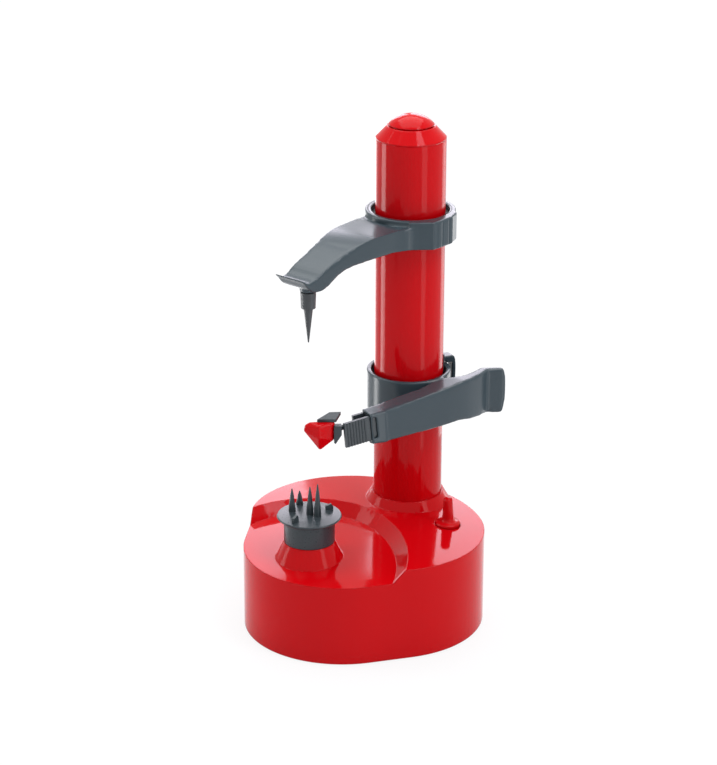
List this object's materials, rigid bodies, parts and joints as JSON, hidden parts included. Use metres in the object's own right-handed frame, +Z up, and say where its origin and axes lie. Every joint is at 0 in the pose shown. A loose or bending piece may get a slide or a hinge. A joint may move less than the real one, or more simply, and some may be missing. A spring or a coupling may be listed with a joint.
{
  "type": "electric potato peeler",
  "caption": "Battery potato peeler: oval base with a pronged food turntable, a round column, a sliding food holder with a spike and a swinging blade arm.",
  "frame": {"origin": "on the plane of the feet, under the axis of the column", "axes": "+Z up along the column, -Y from the column to the turntable, +X to the right of someone facing the turntable's back"},
  "size_m": [0.1452, 0.1601, 0.2973],
  "materials": {
    "red_plastic": "high gloss",
    "slate_plastic": "satin",
    "dark_plastic": "satin",
    "white_plastic": "satin",
    "steel": "brushed",
    "cell_jacket": "satin",
    "foot_rubber": "matte"
  },
  "bodies": {
    "base": {"base_housing": "red_plastic", "base_plate": "dark_plastic", "battery_door": "dark_plastic", "battery_cells": "cell_jacket", "battery_contacts": "steel", "rubber_feet": "foot_rubber", "base_screws": "steel", "gear_plate": "white_plastic", "drive_motor": "steel", "lower_bush": "white_plastic", "upper_bush": "white_plastic", "column_tube": "red_plastic", "column_cone": "red_plastic", "column_dome": "red_plastic", "stop_switch": "dark_plastic"},
    "turntable": {"turntable": "slate_plastic", "turntable_spindle": "steel", "turntable_gear": "white_plastic"},
    "screw": {"lead_screw": "steel", "screw_gear": "white_plastic"},
    "idler_in_front": {"front_idler": "white_plastic"},
    "idler_behind": {"rear_idler": "white_plastic"},
    "rotor": {"motor_pinion": "white_plastic"},
    "stop": {"stop_button": "red_plastic"},
    "holder": {"holder_arm": "slate_plastic", "holder_guide": "dark_plastic"},
    "latch": {"holder_latch": "dark_plastic"},
    "spike": {"spike_socket": "dark_plastic", "food_spike": "dark_plastic"},
    "carriage": {"carriage_sleeve": "dark_plastic"},
    "release": {"release_button": "slate_plastic", "half_nut": "white_plastic"},
    "arm": {"peeler_arm": "slate_plastic", "blade_cassette": "slate_plastic"},
    "head": {"blade_neck": "slate_plastic", "blade_guard": "red_plastic", "blade_clip": "slate_plastic", "peeler_blade": "steel"}
  },
  "joints": [
    {"name": "turntable_spin", "type": "hinge", "parent": "base", "child": "turntable", "pos_m": [0, -0.0893, 0], "axis": [0, 0, 1], "continuous": true},
    {"name": "screw_spin", "type": "hinge", "parent": "base", "child": "screw", "pos_m": [0, 0, 0], "axis": [0, 0, 1], "continuous": true},
    {"name": "front_idler_spin", "type": "hinge", "parent": "base", "child": "idler_in_front", "pos_m": [-0.01354, -0.0592, 0.04], "axis": [0, 0, 1], "continuous": true},
    {"name": "rear_idler_spin", "type": "hinge", "parent": "base", "child": "idler_behind", "pos_m": [0, -0.028, 0.04], "axis": [0, 0, 1], "continuous": true},
    {"name": "pinion_spin", "type": "hinge", "parent": "base", "child": "rotor", "pos_m": [-0.03609, -0.05099, 0.04], "axis": [0, 0, 1], "continuous": true},
    {"name": "stop_press", "type": "slide", "parent": "base", "child": "stop", "axis": [0, 0, -1], "range_m": [0, 0.003], "stiffness_N_per_m": 300, "springref_m": -0.001},
    {"name": "holder_slide", "type": "slide", "parent": "base", "child": "holder", "axis": [0, 0, 1], "range_m": [-0.018, 0.028]},
    {"name": "latch_pull", "type": "slide", "parent": "holder", "child": "latch", "axis": [0.4226, 0.9063, 0], "range_m": [0, 0.002], "stiffness_N_per_m": 300, "springref_m": -0.001},
    {"name": "spike_spin", "type": "hinge", "parent": "holder", "child": "spike", "pos_m": [0, -0.0893, 0.2], "axis": [0, 0, 1], "continuous": true},
    {"name": "carriage_slide", "type": "slide", "parent": "base", "child": "carriage", "axis": [0, 0, 1], "range_m": [-0.016, 0.018]},
    {"name": "release_press", "type": "slide", "parent": "carriage", "child": "release", "axis": [-0.4226, -0.9063, 0], "range_m": [0, 0.002], "stiffness_N_per_m": 300, "springref_m": -0.001},
    {"name": "arm_swing", "type": "hinge", "parent": "carriage", "child": "arm", "pos_m": [0, 0, 0.13], "axis": [0, 0, 1], "range_deg": [0, 32], "stiffness_Nm_per_rad": 0.03, "springref_deg": -11.46},
    {"name": "head_swivel", "type": "hinge", "parent": "arm", "child": "head", "pos_m": [0.0126, -0.0793, 0.13074], "axis": [-0.368, -0.9249, -0.0958], "range_deg": [-12, 12]}
  ],
  "couplings": [
    {"joint": "front_idler_spin", "follows": "turntable_spin", "ratio": -0.83333},
    {"joint": "rear_idler_spin", "follows": "turntable_spin", "ratio": 0.9375},
    {"joint": "screw_spin", "follows": "turntable_spin", "ratio": -1.25},
    {"joint": "pinion_spin", "follows": "turntable_spin", "ratio": 2.5}
  ]
}
